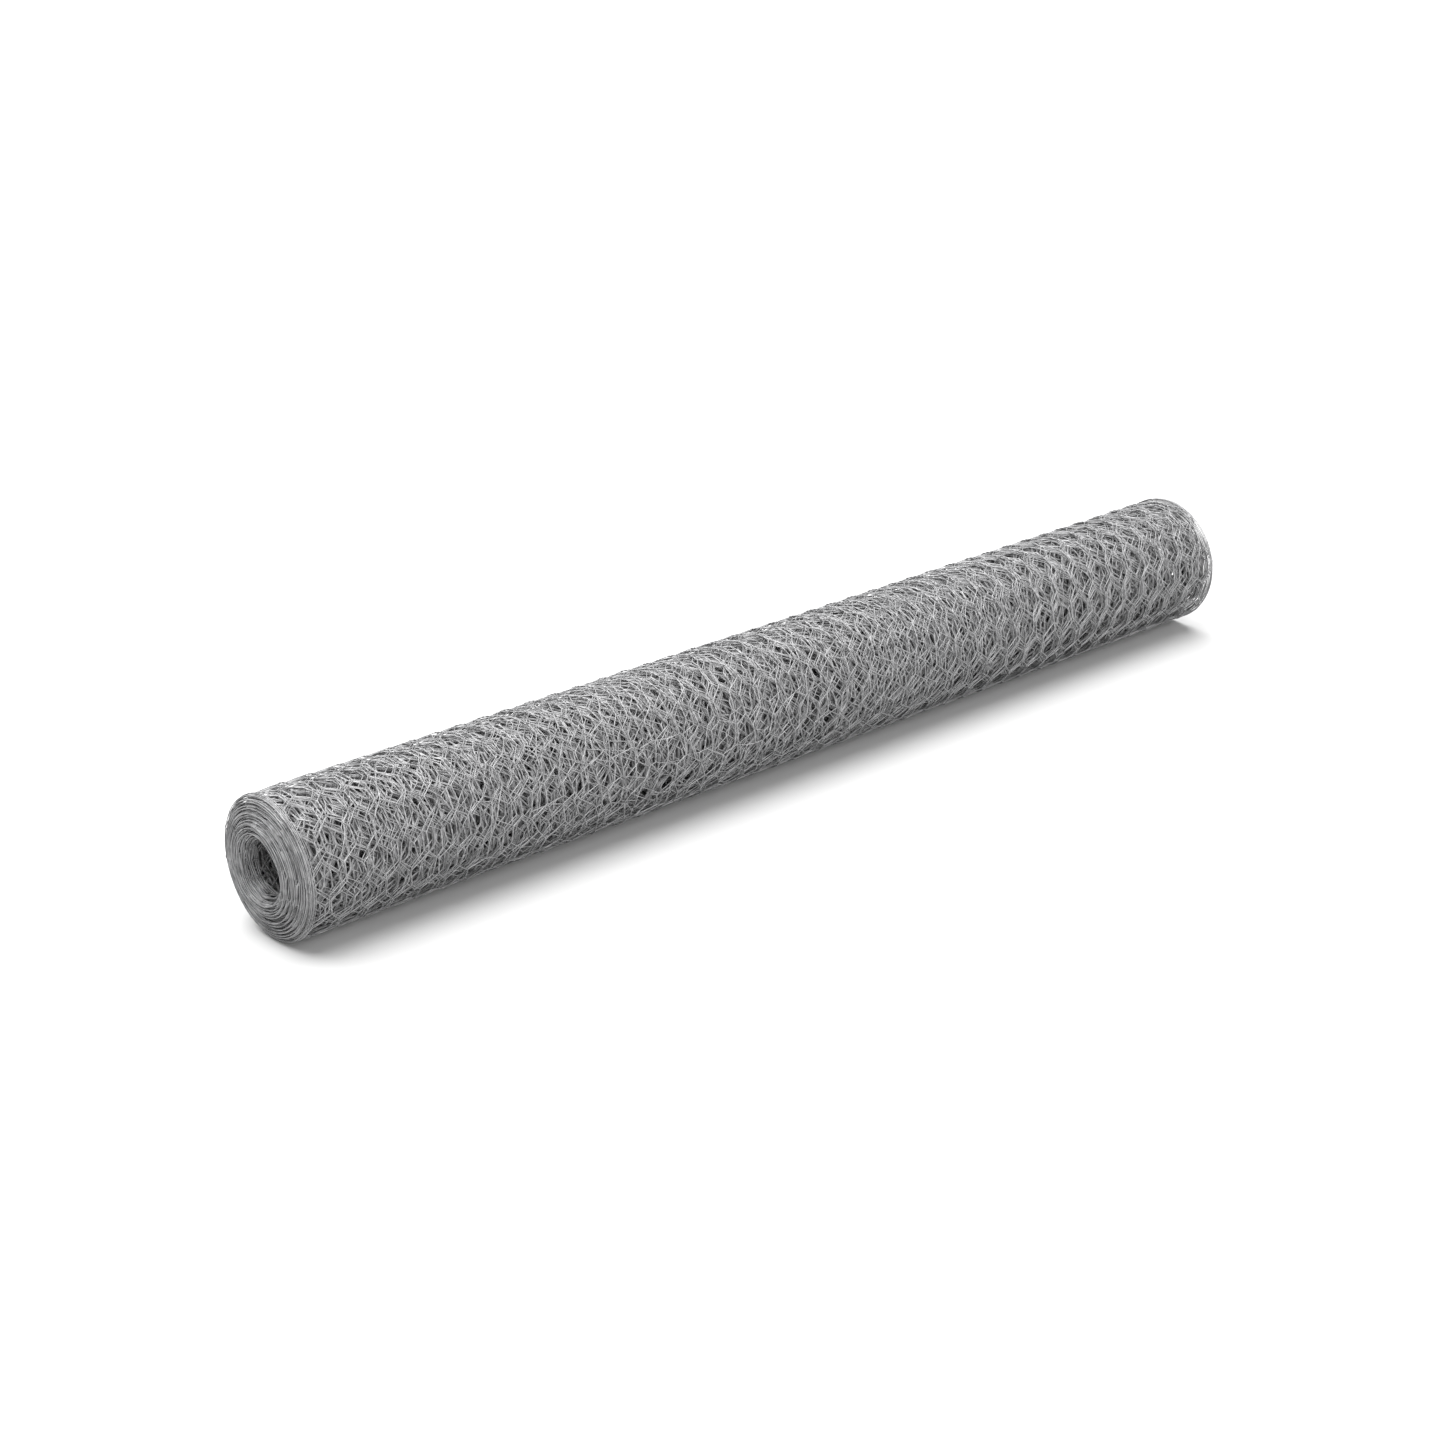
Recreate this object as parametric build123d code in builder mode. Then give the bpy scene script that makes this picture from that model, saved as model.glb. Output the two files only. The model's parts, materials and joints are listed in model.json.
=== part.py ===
"""A roll of hexagonal wire netting, lying on its side.

The netting is wound on itself into a tube with an open bore, so the roll is one solid turned about
its own axis, which runs along X. Every turn of netting is as wide as the next, but the turns have slid
past one another. One end is a low cone, whose lip stands round a bore that narrows behind it, and the
other end is the same shape turned inwards. On both ends the edge of each turn stands out as a ridge,
with a crease between it and the next.
"""

import os

from build123d import *

# Driving dimensions, in millimetres
netting_width = 1000.0  # along the roll, from the selvedge at one end to the selvedge at the other
bore_diameter = 42.0  # left open inside the innermost turn
turn_pitch = 0.9225  # outwards, from one turn of netting to the next
turn_count = 40
lip_turn = 8.5  # turns out from the bore, where the lip of the coned end is
lip_slide = 11.0  # along the roll, how far the lip has slid past the outermost turn
bore_slide = 2.0  # along the roll, how far the innermost turn has
edge_rise = 0.5  # how far the edge of each turn stands out of the creases beside it

# The roll's section, worked out from the driving dimensions
bore_radius = bore_diameter / 2
outer_radius = bore_radius + turn_count * turn_pitch
crease_width = netting_width - 2 * edge_rise  # along one turn, between the creases at its two ends
last_edge = turn_count - 1 / 2  # turns out from the bore, where the edge of the outermost turn is
half_turns = range(2 * turn_count + 1)  # from crease to edge to crease, outwards from the bore


def slide_at(turn):
    """How far a turn, counted from the bore, has slid past the outermost one."""
    if turn < lip_turn:
        return bore_slide + (lip_slide - bore_slide) * turn / lip_turn
    return lip_slide * (last_edge - turn) / (last_edge - lip_turn)


def end_outline(side):
    """One end of the section, from the bore outwards, as (along the roll, out from its axis)."""
    outline = []
    for half_turn in half_turns:
        turn = half_turn / 2
        along = side * crease_width / 2 - slide_at(turn) + lip_slide / 2
        is_edge = half_turn % 2 == 1
        if is_edge:
            along += side * edge_rise
        outline.append((along, bore_radius + turn * turn_pitch))
    return outline


coned_end = end_outline(-1)
hollow_end = end_outline(1)

# The roll lies on the floor, so its axis is one outer radius up.
roll_axis = Axis((0, 0, outer_radius), (1, 0, 0))

with BuildPart() as netting_roll:
    with BuildSketch(Plane.XY.offset(outer_radius)):
        with BuildLine():
            Polyline(*coned_end, *reversed(hollow_end), close=True)
        make_face()
    revolve(axis=roll_axis)

netting_roll.part.label = "netting_roll"

os.makedirs("parts", exist_ok=True)
export_step(netting_roll.part, "parts/netting_roll.step")
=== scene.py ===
"""Looks for the roll of hexagonal wire netting: every wire of the winding, on a pale floor.

The netting is laid out flat first, as rows of twists joined by slanting wires, and is then wound on the
spiral that the frame's bore, outside and ends give. What shows through the mesh is the mesh of the turns
below. Lengths are in metres.
"""

import json
import math

import bpy
import numpy as np
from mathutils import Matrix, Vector


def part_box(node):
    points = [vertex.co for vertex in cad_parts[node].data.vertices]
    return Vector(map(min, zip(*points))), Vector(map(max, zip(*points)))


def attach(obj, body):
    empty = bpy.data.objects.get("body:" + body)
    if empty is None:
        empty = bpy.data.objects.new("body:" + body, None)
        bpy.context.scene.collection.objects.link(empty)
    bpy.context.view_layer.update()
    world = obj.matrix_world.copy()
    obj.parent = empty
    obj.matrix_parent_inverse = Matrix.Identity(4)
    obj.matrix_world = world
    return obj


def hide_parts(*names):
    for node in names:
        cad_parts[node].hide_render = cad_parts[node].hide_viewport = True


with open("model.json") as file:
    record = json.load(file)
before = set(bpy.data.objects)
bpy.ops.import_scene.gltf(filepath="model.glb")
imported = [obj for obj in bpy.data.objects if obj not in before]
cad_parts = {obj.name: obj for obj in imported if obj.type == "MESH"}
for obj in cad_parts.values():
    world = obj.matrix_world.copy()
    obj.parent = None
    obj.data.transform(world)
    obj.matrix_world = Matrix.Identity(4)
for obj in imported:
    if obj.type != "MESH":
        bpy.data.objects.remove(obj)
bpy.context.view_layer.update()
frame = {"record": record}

SEED = 11
NODE = "netting_roll"
SLOT = "galvanised_wire"

random = np.random.default_rng(SEED)

# The netting as it is made
netting_width = 1.0
cells_across = 42
row_pitch = 0.026  # along the netting, from one row of twists to the next
twist_share = 0.6  # of a row, the rest being slanting wire
wire_diameter = 0.0007  # with its zinc coat
selvedge_wire_diameter = 0.0007
selvedge_gap = 0.0015  # across the netting, between the middles of the two wires along each edge
selvedge_half_twists = 2  # by which a wire of the mesh goes once round the selvedge
slant_bend_share = 0.1  # how far a slanting wire keeps the twist's heading before it turns
tail_share = 0.5  # of the last slanting wires, left on the outer cut end

# The winding, from the frame
millimetres_per_metre = 1000
roll_low, roll_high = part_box(NODE)
bore_mount = frame["record"]["mounts"][0]
bore_radius = bore_mount["dims"]["r_mm"] / millimetres_per_metre
axis_height = bore_mount["pos_m"][2]
outer_radius = (roll_high.y - roll_low.y) / 2
turn_pitch = 0.0009225
turn_count = round((outer_radius - bore_radius) / turn_pitch)
first_radius = bore_radius + wire_diameter
last_radius = outer_radius - wire_diameter
floor_clearance = 0.00045  # from the floor to the middle of the lowest wire
tail_angle = math.radians(288)  # where the outer cut end lies, under the back of the roll
nested_turns = 6  # the outermost turns, which bed into the mesh below and lie almost in step with it
row_creep = 0.07  # rows by which a nested turn is out of step with the next

# How far the turns have slid towards the near end, past the outermost one
lip_turn = 8.5  # turns out from the bore, where the lip of the near end is
lip_slide = (roll_high.x - roll_low.x) - netting_width
bore_slide = lip_slide / 2 - bore_mount["pos_m"][0]
shoulder_turns = 3.5  # from the outside in to the shoulder, where the near end turns steeper
shoulder_slide = 0.0030
near_rim_slide = 0.0008  # one turn in from the outside
far_rim_slide = 0.0016
near_slides = {
    0: bore_slide,
    lip_turn: lip_slide,
    turn_count - shoulder_turns: shoulder_slide,
    turn_count - 1: near_rim_slide,
    turn_count: 0,
}
far_slides = {0: bore_slide, lip_turn: lip_slide, turn_count - 1: far_rim_slide, turn_count: 0}

# How the winding departs from a true spiral
strand_turns = 2.45  # that gather into one strand at the ends of the roll
strand_pinch = 0.36  # in turns, towards the middle of the strand
strand_reach = 0.03  # from each end, over which they do
strand_depth = 0.0058  # along the roll, by which the turns between two strands sit back
strand_periods = (5.3, 8.7, 13.1)  # in turns, over which the strands grow and shrink
strand_swing = 1.1  # radians of a strand, by which each period shifts it
deep_strands_to = 28  # turns out from the bore; further out they sit back less
outer_depth_share = 0.3
far_strand_share = 0.55  # of that depth, left at the far end
pressed_turns = 4  # the outermost ones, which lie closer together
pressed_share = 0.65
bore_rise = 0.0018  # of the innermost turn above the middle of the roll
lift_wavelengths = np.linspace(0.03, 0.16, 9)  # of the bumps by which the outer turns stand off
loose_lift = 0.0002
loose_turns = 2
flare_lift = 0.0006  # of the outermost turn at the far end
flare_length = 0.09
flared_turns = 3

# How the mesh departs from true hexagons
mesh_drift = 0.0085  # slow wandering of whole patches of mesh
drift_wavelengths = np.linspace(0.25, 0.9, 9)
edge_reach = 0.012  # from each selvedge, which keeps the mesh from moving across
nested_drift_share = 0.3
loosened_places = (-0.5, -0.36, -0.2, 0.0, 0.2)  # along the roll
loosened_shares = (0.15, 0.45, 1, 1, 0.1)  # by which the nested turns are out of step there after all
node_jitter = 0.0007
twist_lean = math.radians(7)
crumple_jitter = 0.0020
crumple_lean = math.radians(14)
crumple_squeeze_share = 0.15  # by which the mesh is pushed together along the netting
crumple_stretch_share = 0.12  # by which its twists then reach into the slanting wires
crumple_lift = 0.0012
crumpled_turns = 3
crumple_middle = -0.155  # along the roll
crumple_reach = 0.17
crumple_angle = math.radians(182)
crumple_spread = math.radians(65)

# How finely the wires of a stretch are drawn. Turns further in show less.
DEEP = {"half_twists": 1, "twist_rings": 2, "slant_shares": (), "sides": 3}
FAINT = {"half_twists": 1, "twist_rings": 2, "slant_shares": (0.5,), "sides": 3}
PLAIN = {"half_twists": 1, "twist_rings": 3, "slant_shares": (0.15, 0.85), "sides": 4}
CLOSE = {"half_twists": 3, "twist_rings": 8, "slant_shares": (0.15, 0.85), "sides": 4}
FINEST = {"half_twists": 3, "twist_rings": 9, "slant_shares": (0.12, 0.5, 0.88), "sides": 5}
STRETCHES = [
    {"name": "bore_turns", "last_turn": 6, "detail": FAINT},
    {"name": "inner_turns", "last_turn": 26, "detail": DEEP},
    {"name": "middle_turns", "last_turn": 33, "detail": FAINT},
    {"name": "upper_turns", "last_turn": 37, "detail": PLAIN},
    {"name": "outer_turns", "last_turn": 39, "detail": CLOSE},
    {"name": "outermost_turn", "last_turn": turn_count, "detail": FINEST},
]
SELVEDGES = [{"name": "near_selvedge", "side": -1}, {"name": "far_selvedge", "side": 1}]
selvedge_sides = 4
selvedge_steps_per_row = 4

# Wires that lie deep are drawn stouter, so that next to no light comes through the roll.
stout_turns = (0, 3, 8, 28, 34)  # turns out from the bore
stout_shares = (1, 1.4, 3.0, 3.0, 1)  # of the wire's diameter, at the near end
far_stout_share = 0.7  # of what that adds, left at the far end, whose strands do let some light through

# The zinc coat
metal_share = 0.5
patch_scale = 140
patch_detail = 4
dark_tone = (0.18, 0.18, 0.183, 1)
light_tone = (0.38, 0.38, 0.384, 1)
dark_to_share = 0.3  # of the patches' range
light_from_share = 0.7
least_roughness = 0.45
most_roughness = 0.62
grain_scale = 2600
grain_strength = 0.2
grain_depth = 0.0001

# The stage
floor_half_width = 40.0
floor_tone = (0.48, 0.48, 0.48, 1)
floor_roughness = 0.8
surround_tone = (1, 1, 1, 1)
surround_strength = 0.15
SUNS = [
    {"name": "overhead", "strength": 8.15, "spread": math.radians(80), "heading": (0.05, -0.3, -1)},
    {"name": "fill", "strength": 3.8, "spread": math.radians(80), "heading": (0.15, 1, -0.3)},
]

# The photograph's view. Its near end is the -X end of the roll.
camera_azimuth = math.radians(-41.3)
camera_elevation = math.radians(23.4)
camera_distance = 2.404
camera_aim = Vector((-0.0537, 0, 0.0508))
sensor_millimetres = 36
lens_millimetres = 72.8

# Worked out from the above
column_count = 2 * cells_across  # a twist stands on every other one, shifted by one from row to row
column_pitch = (netting_width - selvedge_gap - selvedge_wire_diameter) / column_count
wire_radius = wire_diameter / 2
half_twist_length = twist_share * row_pitch / 2


def wind_rows():
    """The turn, counted from the bore, at which each row of twists starts.

    A turn that beds into the mesh below it takes an even number of rows, and a little more.
    """
    turns = [0.0]
    while turns[-1] < turn_count:
        radius = first_radius + turns[-1] * turn_pitch
        rows_round = 2 * math.pi * radius / row_pitch
        if turns[-1] > turn_count - nested_turns:
            rows_round = 2 * round(rows_round / 2) + row_creep
        turns.append(turns[-1] + 1 / rows_round)
    return np.array(turns)


row_turns = wind_rows()
row_numbers = np.arange(len(row_turns))
row_count = len(row_turns) - 1


def random_angles(count):
    return random.uniform(0, 2 * math.pi, count)


def smooth_field(wavelengths):
    """A smooth random field over two coordinates, mostly between -1 and 1, made of plane waves."""
    headings = random_angles(len(wavelengths))
    phases = random_angles(len(wavelengths))

    def field(first, second):
        total = np.zeros(np.broadcast(first, second).shape)
        for wavelength, heading, phase in zip(wavelengths, headings, phases):
            step = 2 * math.pi / wavelength
            total += np.cos(step * (first * math.cos(heading) + second * math.sin(heading)) + phase)
        return total / math.sqrt(len(wavelengths))

    return field


across_drift_field = smooth_field(drift_wavelengths)
along_drift_field = smooth_field(drift_wavelengths)
lift_field = smooth_field(lift_wavelengths)
strand_phases = random_angles(len(strand_periods))
strand_headings = random_angles(len(strand_periods))


def bell(distance, reach):
    """One in the middle, falling off smoothly to almost nothing at twice the reach."""
    return np.exp(-((distance / reach) ** 2))


def turn_at(along):
    """The turn, counted from the bore, that a point along the flat netting is wound on."""
    return np.interp(along / row_pitch, row_numbers, row_turns)


def angle_at(turn):
    """The angle round the roll's axis, from +Y towards +Z."""
    return tail_angle + 2 * math.pi * (turn - row_turns[-1])


def end_distance_at(across):
    """How far a point across the netting is from the nearer end."""
    return netting_width / 2 - np.abs(across)


def far_share_at(across):
    """How far along the roll a point across the netting is, from 0 at the near end to 1 at the far end."""
    return 1 / 2 + across / netting_width


def among_last(turn, turns):
    """Nothing on the inner turns, rising to one over the first of the last few turns."""
    return np.clip(turn - (turn_count - turns), 0, 1)


def angle_from_crumple(turn):
    """The angle round the roll from the middle of the crumpled patch, either way."""
    return np.angle(np.exp(1j * (angle_at(turn) - crumple_angle)))


def crumple_at(turn, across):
    """How crumpled the netting is, from 0 to 1: one patch, on the front of the outermost turns."""
    turned = angle_from_crumple(turn)
    patch = bell(across - crumple_middle, crumple_reach) * bell(turned, crumple_spread)
    return patch * among_last(turn, crumpled_turns)


def strand_phase_at(turn, angle):
    """Where a turn lies in its strand: whole circles in its middle, half a circle off between two."""
    phase = 2 * math.pi * turn / strand_turns
    for period, start, heading in zip(strand_periods, strand_phases, strand_headings):
        phase = phase + strand_swing * np.sin(2 * math.pi * turn / period + start + np.sin(angle + heading))
    return phase


def outward_share_at(turn, angle, across):
    """How far out a turn lies, from 0 at the bore to 1 outside. Near the ends turns gather in strands."""
    pressed_from = turn_count - pressed_turns
    pressed_to = turn_count - pressed_turns * pressed_share
    outward_turn = np.interp(turn, (0, pressed_from, turn_count), (0, pressed_to, turn_count))
    end_distance = end_distance_at(across)
    pinch = strand_pinch * bell(end_distance, strand_reach) * np.sin(strand_phase_at(turn, angle))
    return np.clip(outward_turn - pinch, 0, turn_count) / turn_count


def lift_at(turn, angle, across, along):
    """How far the outer turns stand off the spiral: loose on top, flared at the far end and crumpled."""
    upper_share = (1 + np.sin(angle)) / 2
    bumps = np.maximum(lift_field(across, along), 0)
    slack = loose_lift * bumps * among_last(turn, loose_turns)
    flare_start = netting_width / 2 - flare_length
    past_start = np.clip((across - flare_start) / flare_length, 0, 1)
    flare = flare_lift * past_start**2 * np.clip(1 - (turn_count - turn) / flared_turns, 0, 1)
    return (slack + flare) * upper_share + crumple_lift * bumps * crumple_at(turn, across)


def slide_at(turn, angle, across, outward_share):
    """How far along the roll a turn has moved. The lip has moved most towards the near end."""
    outward_turn = outward_share * turn_count
    near_slide = np.interp(outward_turn, list(near_slides), list(near_slides.values()))
    far_slide = np.interp(outward_turn, list(far_slides), list(far_slides.values()))
    far_share = far_share_at(across)
    slide = near_slide + (far_slide - near_slide) * far_share
    depth_shares = np.interp(turn, (0, deep_strands_to, turn_count), (1, 1, outer_depth_share))
    near_depth = strand_depth * depth_shares
    far_depth = strand_depth * far_strand_share
    depth = near_depth * (1 - far_share) - far_depth * far_share
    set_back = depth * (1 - np.cos(strand_phase_at(turn, angle))) / 2
    return lip_slide / 2 - slide + set_back


def wind(across, along, off):
    """Winds points of the flat netting on the roll: across it, along it and off its middle plane."""
    turn = turn_at(along)
    angle = angle_at(turn)
    outward_share = outward_share_at(turn, angle, across)
    radius = first_radius + (last_radius - first_radius) * outward_share
    radius = radius + off + lift_at(turn, angle, across, along)
    rise = bore_rise * (1 - outward_share)
    height = np.maximum(axis_height + rise + radius * np.sin(angle), floor_clearance)
    along_roll = across + slide_at(turn, angle, across, outward_share)
    return np.stack([along_roll, radius * np.cos(angle), height], axis=-1)


def place_nodes():
    """The twists of the flat netting, row by column: across, along, how far each leans, half its length."""
    shape = (row_count + 1, column_count + 1)
    columns = np.arange(column_count + 1)
    across = np.broadcast_to((columns - cells_across) * column_pitch, shape)
    along = np.broadcast_to(row_numbers[:, None] * row_pitch + half_twist_length, shape)
    turn = turn_at(along)
    inside = (columns > 0) & (columns < column_count)
    crumple = crumple_at(turn, across) * inside

    loosened = np.interp(across, loosened_places, loosened_shares)
    nested_share = among_last(turn, nested_turns) * (1 - loosened)
    loose_share = 1 - nested_share * (1 - nested_drift_share)
    drift = mesh_drift * loose_share
    held = bell(end_distance_at(across), edge_reach)
    wound = turn * 2 * math.pi * outer_radius  # as far apart from turn to turn at the bore as outside
    across_drift = drift * (1 - held) * across_drift_field(across, wound)
    along_drift = drift * along_drift_field(across, wound)
    jitter = node_jitter * inside + crumple * crumple_jitter
    lean = twist_lean * inside + crumple * crumple_lean

    from_crumple = angle_from_crumple(turn) * (first_radius + turn * turn_pitch)
    squeeze = crumple * crumple_squeeze_share * from_crumple
    return (
        across + across_drift + jitter * random.standard_normal(shape),
        along + along_drift - squeeze + jitter * random.standard_normal(shape),
        lean * random.standard_normal(shape),
        half_twist_length * (1 + crumple * crumple_stretch_share),
    )


node_across, node_along, node_lean, node_half_length = place_nodes()


def twist_ends(row, column):
    """Where a twist starts and ends on the flat netting, the way it heads and the way across it."""
    middle = np.stack([node_across[row, column], node_along[row, column]], axis=-1)
    lean = node_lean[row, column]
    heading = np.stack([np.sin(lean), np.cos(lean)], axis=-1)
    aside = np.stack([np.cos(lean), -np.sin(lean)], axis=-1)
    reach = node_half_length[row, column][..., None] * heading
    return middle - reach, middle + reach, heading, aside


def bend_between(start, end, start_heading, end_heading, shares):
    """Points on a smooth bend from start to end, at shares of the way: a cubic with these headings."""
    t = np.array(shares).reshape(-1, 1)
    reach = np.linalg.norm(end - start, axis=-1, keepdims=True) * slant_bend_share
    return (
        (2 * t**3 - 3 * t**2 + 1) * start[..., None, :]
        + (t**3 - 2 * t**2 + t) * (reach * start_heading)[..., None, :]
        + (3 * t**2 - 2 * t**3) * end[..., None, :]
        + (t**3 - t**2) * (reach * end_heading)[..., None, :]
    )


def drawn_diameters(across, along):
    """How thick a wire of the mesh is drawn at points of the flat netting."""
    added_share = np.interp(turn_at(along), stout_turns, stout_shares) - 1
    stout_share = 1 + added_share * (1 - (1 - far_stout_share) * far_share_at(across))
    return wire_diameter * stout_share


def netting_wires(first_row, last_row, detail):
    """Centre lines of every wire over some rows, wound on the roll: (wire, ring, xyz), and diameters.

    A wire goes through a twist from one side to the other and on to the next column, so it crosses the
    netting until it meets a selvedge, goes once round that and comes back.
    """
    wires = np.arange(1, 2 * column_count, 2)[:, None]
    rows = np.arange(first_row, last_row)[None, :]
    way = (wires + rows) % (2 * column_count)
    column = column_count - np.abs(way - column_count)
    going_in = np.where((way > 0) & (way <= column_count), 1, -1)
    going_out = np.where(way < column_count, 1, -1)
    at_selvedge = (column == 0) | (column == column_count)
    half_twists = np.where(at_selvedge, selvedge_half_twists, detail["half_twists"])

    start, end, heading, aside = twist_ends(rows, column)
    next_start, _, next_heading, next_aside = twist_ends(rows + 1, column + going_out)
    selvedge_offset = wire_radius + (selvedge_gap + selvedge_wire_diameter) / 2
    offset = np.where(at_selvedge, selvedge_offset, wire_radius)

    share = np.linspace(0, 1, detail["twist_rings"])
    phase = np.where(going_in > 0, math.pi, 0)[..., None] + math.pi * half_twists[..., None] * share
    twist_line = start[..., None, :] + (end - start)[..., None, :] * share[:, None]
    twist_flat = twist_line + (offset[..., None] * np.cos(phase))[..., None] * aside[..., None, :]
    twist_off = wire_radius * np.sin(phase)

    slant_from = end + (offset * going_out)[..., None] * aside
    slant_to = next_start - (wire_radius * going_out)[..., None] * next_aside
    slant_flat = bend_between(slant_from, slant_to, heading, next_heading, detail["slant_shares"])
    slant_off = np.zeros(slant_flat.shape[:-1])

    flat = np.concatenate([twist_flat, slant_flat], axis=2).reshape(column_count, -1, 2)
    off = np.concatenate([twist_off, slant_off], axis=2).reshape(column_count, -1)
    last_flat = slant_to[:, -1:, :]
    if last_row == row_count:
        last_flat = flat[:, -1:, :] * (1 - tail_share) + last_flat * tail_share
    flat = np.concatenate([flat, last_flat], axis=1)
    off = np.concatenate([off, np.zeros((column_count, 1))], axis=1)
    across = flat[..., 0]
    along = flat[..., 1]
    return wind(across, along, off), drawn_diameters(across, along)


def selvedge_wires(side):
    """Centre lines of the two wires that run side by side along one edge of the netting."""
    along = np.arange(row_count * selvedge_steps_per_row + 1) * row_pitch / selvedge_steps_per_row
    across = side * column_pitch * cells_across + selvedge_gap / 2 * np.array([[-1], [1]])
    across, along = np.broadcast_arrays(across, along)
    return wind(across, along, np.zeros(across.shape))


def wire_piece(name, centres, diameter, sides, material):
    """One mesh of round wires with capped ends, riding on the roll."""
    wire_count, ring_count, _ = centres.shape
    tangent = np.gradient(centres, axis=1)
    tangent /= np.linalg.norm(tangent, axis=-1, keepdims=True)
    outward = centres - np.array([0, 0, axis_height])
    outward[..., 0] = 0
    aside = np.cross(tangent, outward)
    aside /= np.linalg.norm(aside, axis=-1, keepdims=True)
    upward = np.cross(aside, tangent)
    turn = np.linspace(0, 2 * math.pi, sides, endpoint=False)[:, None]
    ring = np.cos(turn) * aside[..., None, :] + np.sin(turn) * upward[..., None, :]
    drawn_share = math.pi / (sides * math.sin(math.pi / sides))  # so that it looks as wide as round wire
    drawn_radius = np.broadcast_to(diameter, centres.shape[:2])[..., None, None] * drawn_share / 2
    vertices = (centres[..., None, :] + ring * drawn_radius).reshape(-1, 3)

    corner = np.arange(wire_count * ring_count * sides).reshape(wire_count, ring_count, sides)
    beside = np.roll(corner, -1, axis=2)
    walls = np.stack([corner[:, :-1], corner[:, 1:], beside[:, 1:], beside[:, :-1]], axis=-1)
    faces = walls.reshape(-1, 4).tolist()
    faces += corner[:, 0].tolist()
    faces += corner[:, -1, ::-1].tolist()

    mesh = bpy.data.meshes.new(name)
    mesh.from_pydata(vertices, [], faces)
    mesh.shade_smooth()
    mesh.materials.append(material)
    piece = bpy.data.objects.new(name, mesh)
    bpy.context.scene.collection.objects.link(piece)
    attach(piece, "root")
    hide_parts(NODE)
    return piece


def galvanised_material():
    """Zinc-coated wire: satin grey, patchy along its length, with a fine grain."""
    material = bpy.data.materials.new(SLOT)
    material.use_nodes = True
    nodes = material.node_tree.nodes
    links = material.node_tree.links
    shader = nodes["Principled BSDF"]
    shader.inputs["Metallic"].default_value = metal_share
    place = nodes.new("ShaderNodeTexCoord")

    patches = nodes.new("ShaderNodeTexNoise")
    patches.inputs["Scale"].default_value = patch_scale
    patches.inputs["Detail"].default_value = patch_detail
    links.new(place.outputs["Object"], patches.inputs["Vector"])
    tones = nodes.new("ShaderNodeValToRGB")
    dark, light = tones.color_ramp.elements
    dark.position = dark_to_share
    dark.color = dark_tone
    light.position = light_from_share
    light.color = light_tone
    links.new(patches.outputs["Fac"], tones.inputs["Fac"])
    links.new(tones.outputs["Color"], shader.inputs["Base Color"])

    sheen = nodes.new("ShaderNodeMapRange")
    sheen.inputs["To Min"].default_value = least_roughness
    sheen.inputs["To Max"].default_value = most_roughness
    links.new(patches.outputs["Fac"], sheen.inputs["Value"])
    links.new(sheen.outputs["Result"], shader.inputs["Roughness"])

    grain = nodes.new("ShaderNodeTexNoise")
    grain.inputs["Scale"].default_value = grain_scale
    links.new(place.outputs["Object"], grain.inputs["Vector"])
    bump = nodes.new("ShaderNodeBump")
    bump.inputs["Strength"].default_value = grain_strength
    bump.inputs["Distance"].default_value = grain_depth
    links.new(grain.outputs["Fac"], bump.inputs["Height"])
    links.new(bump.outputs["Normal"], shader.inputs["Normal"])
    return material


def build_netting():
    """Every wire of the roll, in stretches from the bore outwards, and its two selvedges."""
    material = galvanised_material()
    first_row = 0
    for stretch in STRETCHES:
        last_row = min(int(np.searchsorted(row_turns, stretch["last_turn"])), row_count)
        centres, diameters = netting_wires(first_row, last_row, stretch["detail"])
        wire_piece(stretch["name"], centres, diameters, stretch["detail"]["sides"], material)
        first_row = last_row
    for selvedge in SELVEDGES:
        centres = selvedge_wires(selvedge["side"])
        wire_piece(selvedge["name"], centres, selvedge_wire_diameter, selvedge_sides, material)


def build_floor():
    """A plain pale floor."""
    corners = [
        (-floor_half_width, -floor_half_width, 0),
        (floor_half_width, -floor_half_width, 0),
        (floor_half_width, floor_half_width, 0),
        (-floor_half_width, floor_half_width, 0),
    ]
    mesh = bpy.data.meshes.new("floor")
    mesh.from_pydata(corners, [], [range(len(corners))])
    material = bpy.data.materials.new("pale_floor")
    material.use_nodes = True
    shader = material.node_tree.nodes["Principled BSDF"]
    shader.inputs["Base Color"].default_value = floor_tone
    shader.inputs["Roughness"].default_value = floor_roughness
    mesh.materials.append(material)
    floor = bpy.data.objects.new("floor", mesh)
    bpy.context.scene.collection.objects.link(floor)


def light_studio():
    """Broad soft light from above and from the camera's side, with a dim even surround."""
    scene = bpy.context.scene
    scene.view_settings.view_transform = "Standard"
    world = bpy.data.worlds.new("studio")
    world.use_nodes = True
    background = world.node_tree.nodes["Background"]
    background.inputs["Color"].default_value = surround_tone
    background.inputs["Strength"].default_value = surround_strength
    scene.world = world

    for sun in SUNS:
        data = bpy.data.lights.new(sun["name"], "SUN")
        data.energy = sun["strength"]
        data.angle = sun["spread"]
        light = bpy.data.objects.new(sun["name"], data)
        light.rotation_mode = "QUATERNION"
        light.rotation_quaternion = Vector(sun["heading"]).to_track_quat("-Z", "Y")
        scene.collection.objects.link(light)


def place_camera():
    """The photograph's view."""
    level_share = math.cos(camera_elevation)
    back = Vector(
        (
            math.sin(camera_azimuth) * level_share,
            -math.cos(camera_azimuth) * level_share,
            math.sin(camera_elevation),
        )
    )
    data = bpy.data.cameras.new("camera")
    data.sensor_width = sensor_millimetres
    data.lens = lens_millimetres
    camera = bpy.data.objects.new("camera", data)
    camera.location = camera_aim + back * camera_distance
    camera.rotation_mode = "QUATERNION"
    camera.rotation_quaternion = (-back).to_track_quat("-Z", "Y")
    bpy.context.scene.collection.objects.link(camera)
    bpy.context.scene.camera = camera


build_netting()
build_floor()
light_studio()
place_camera()
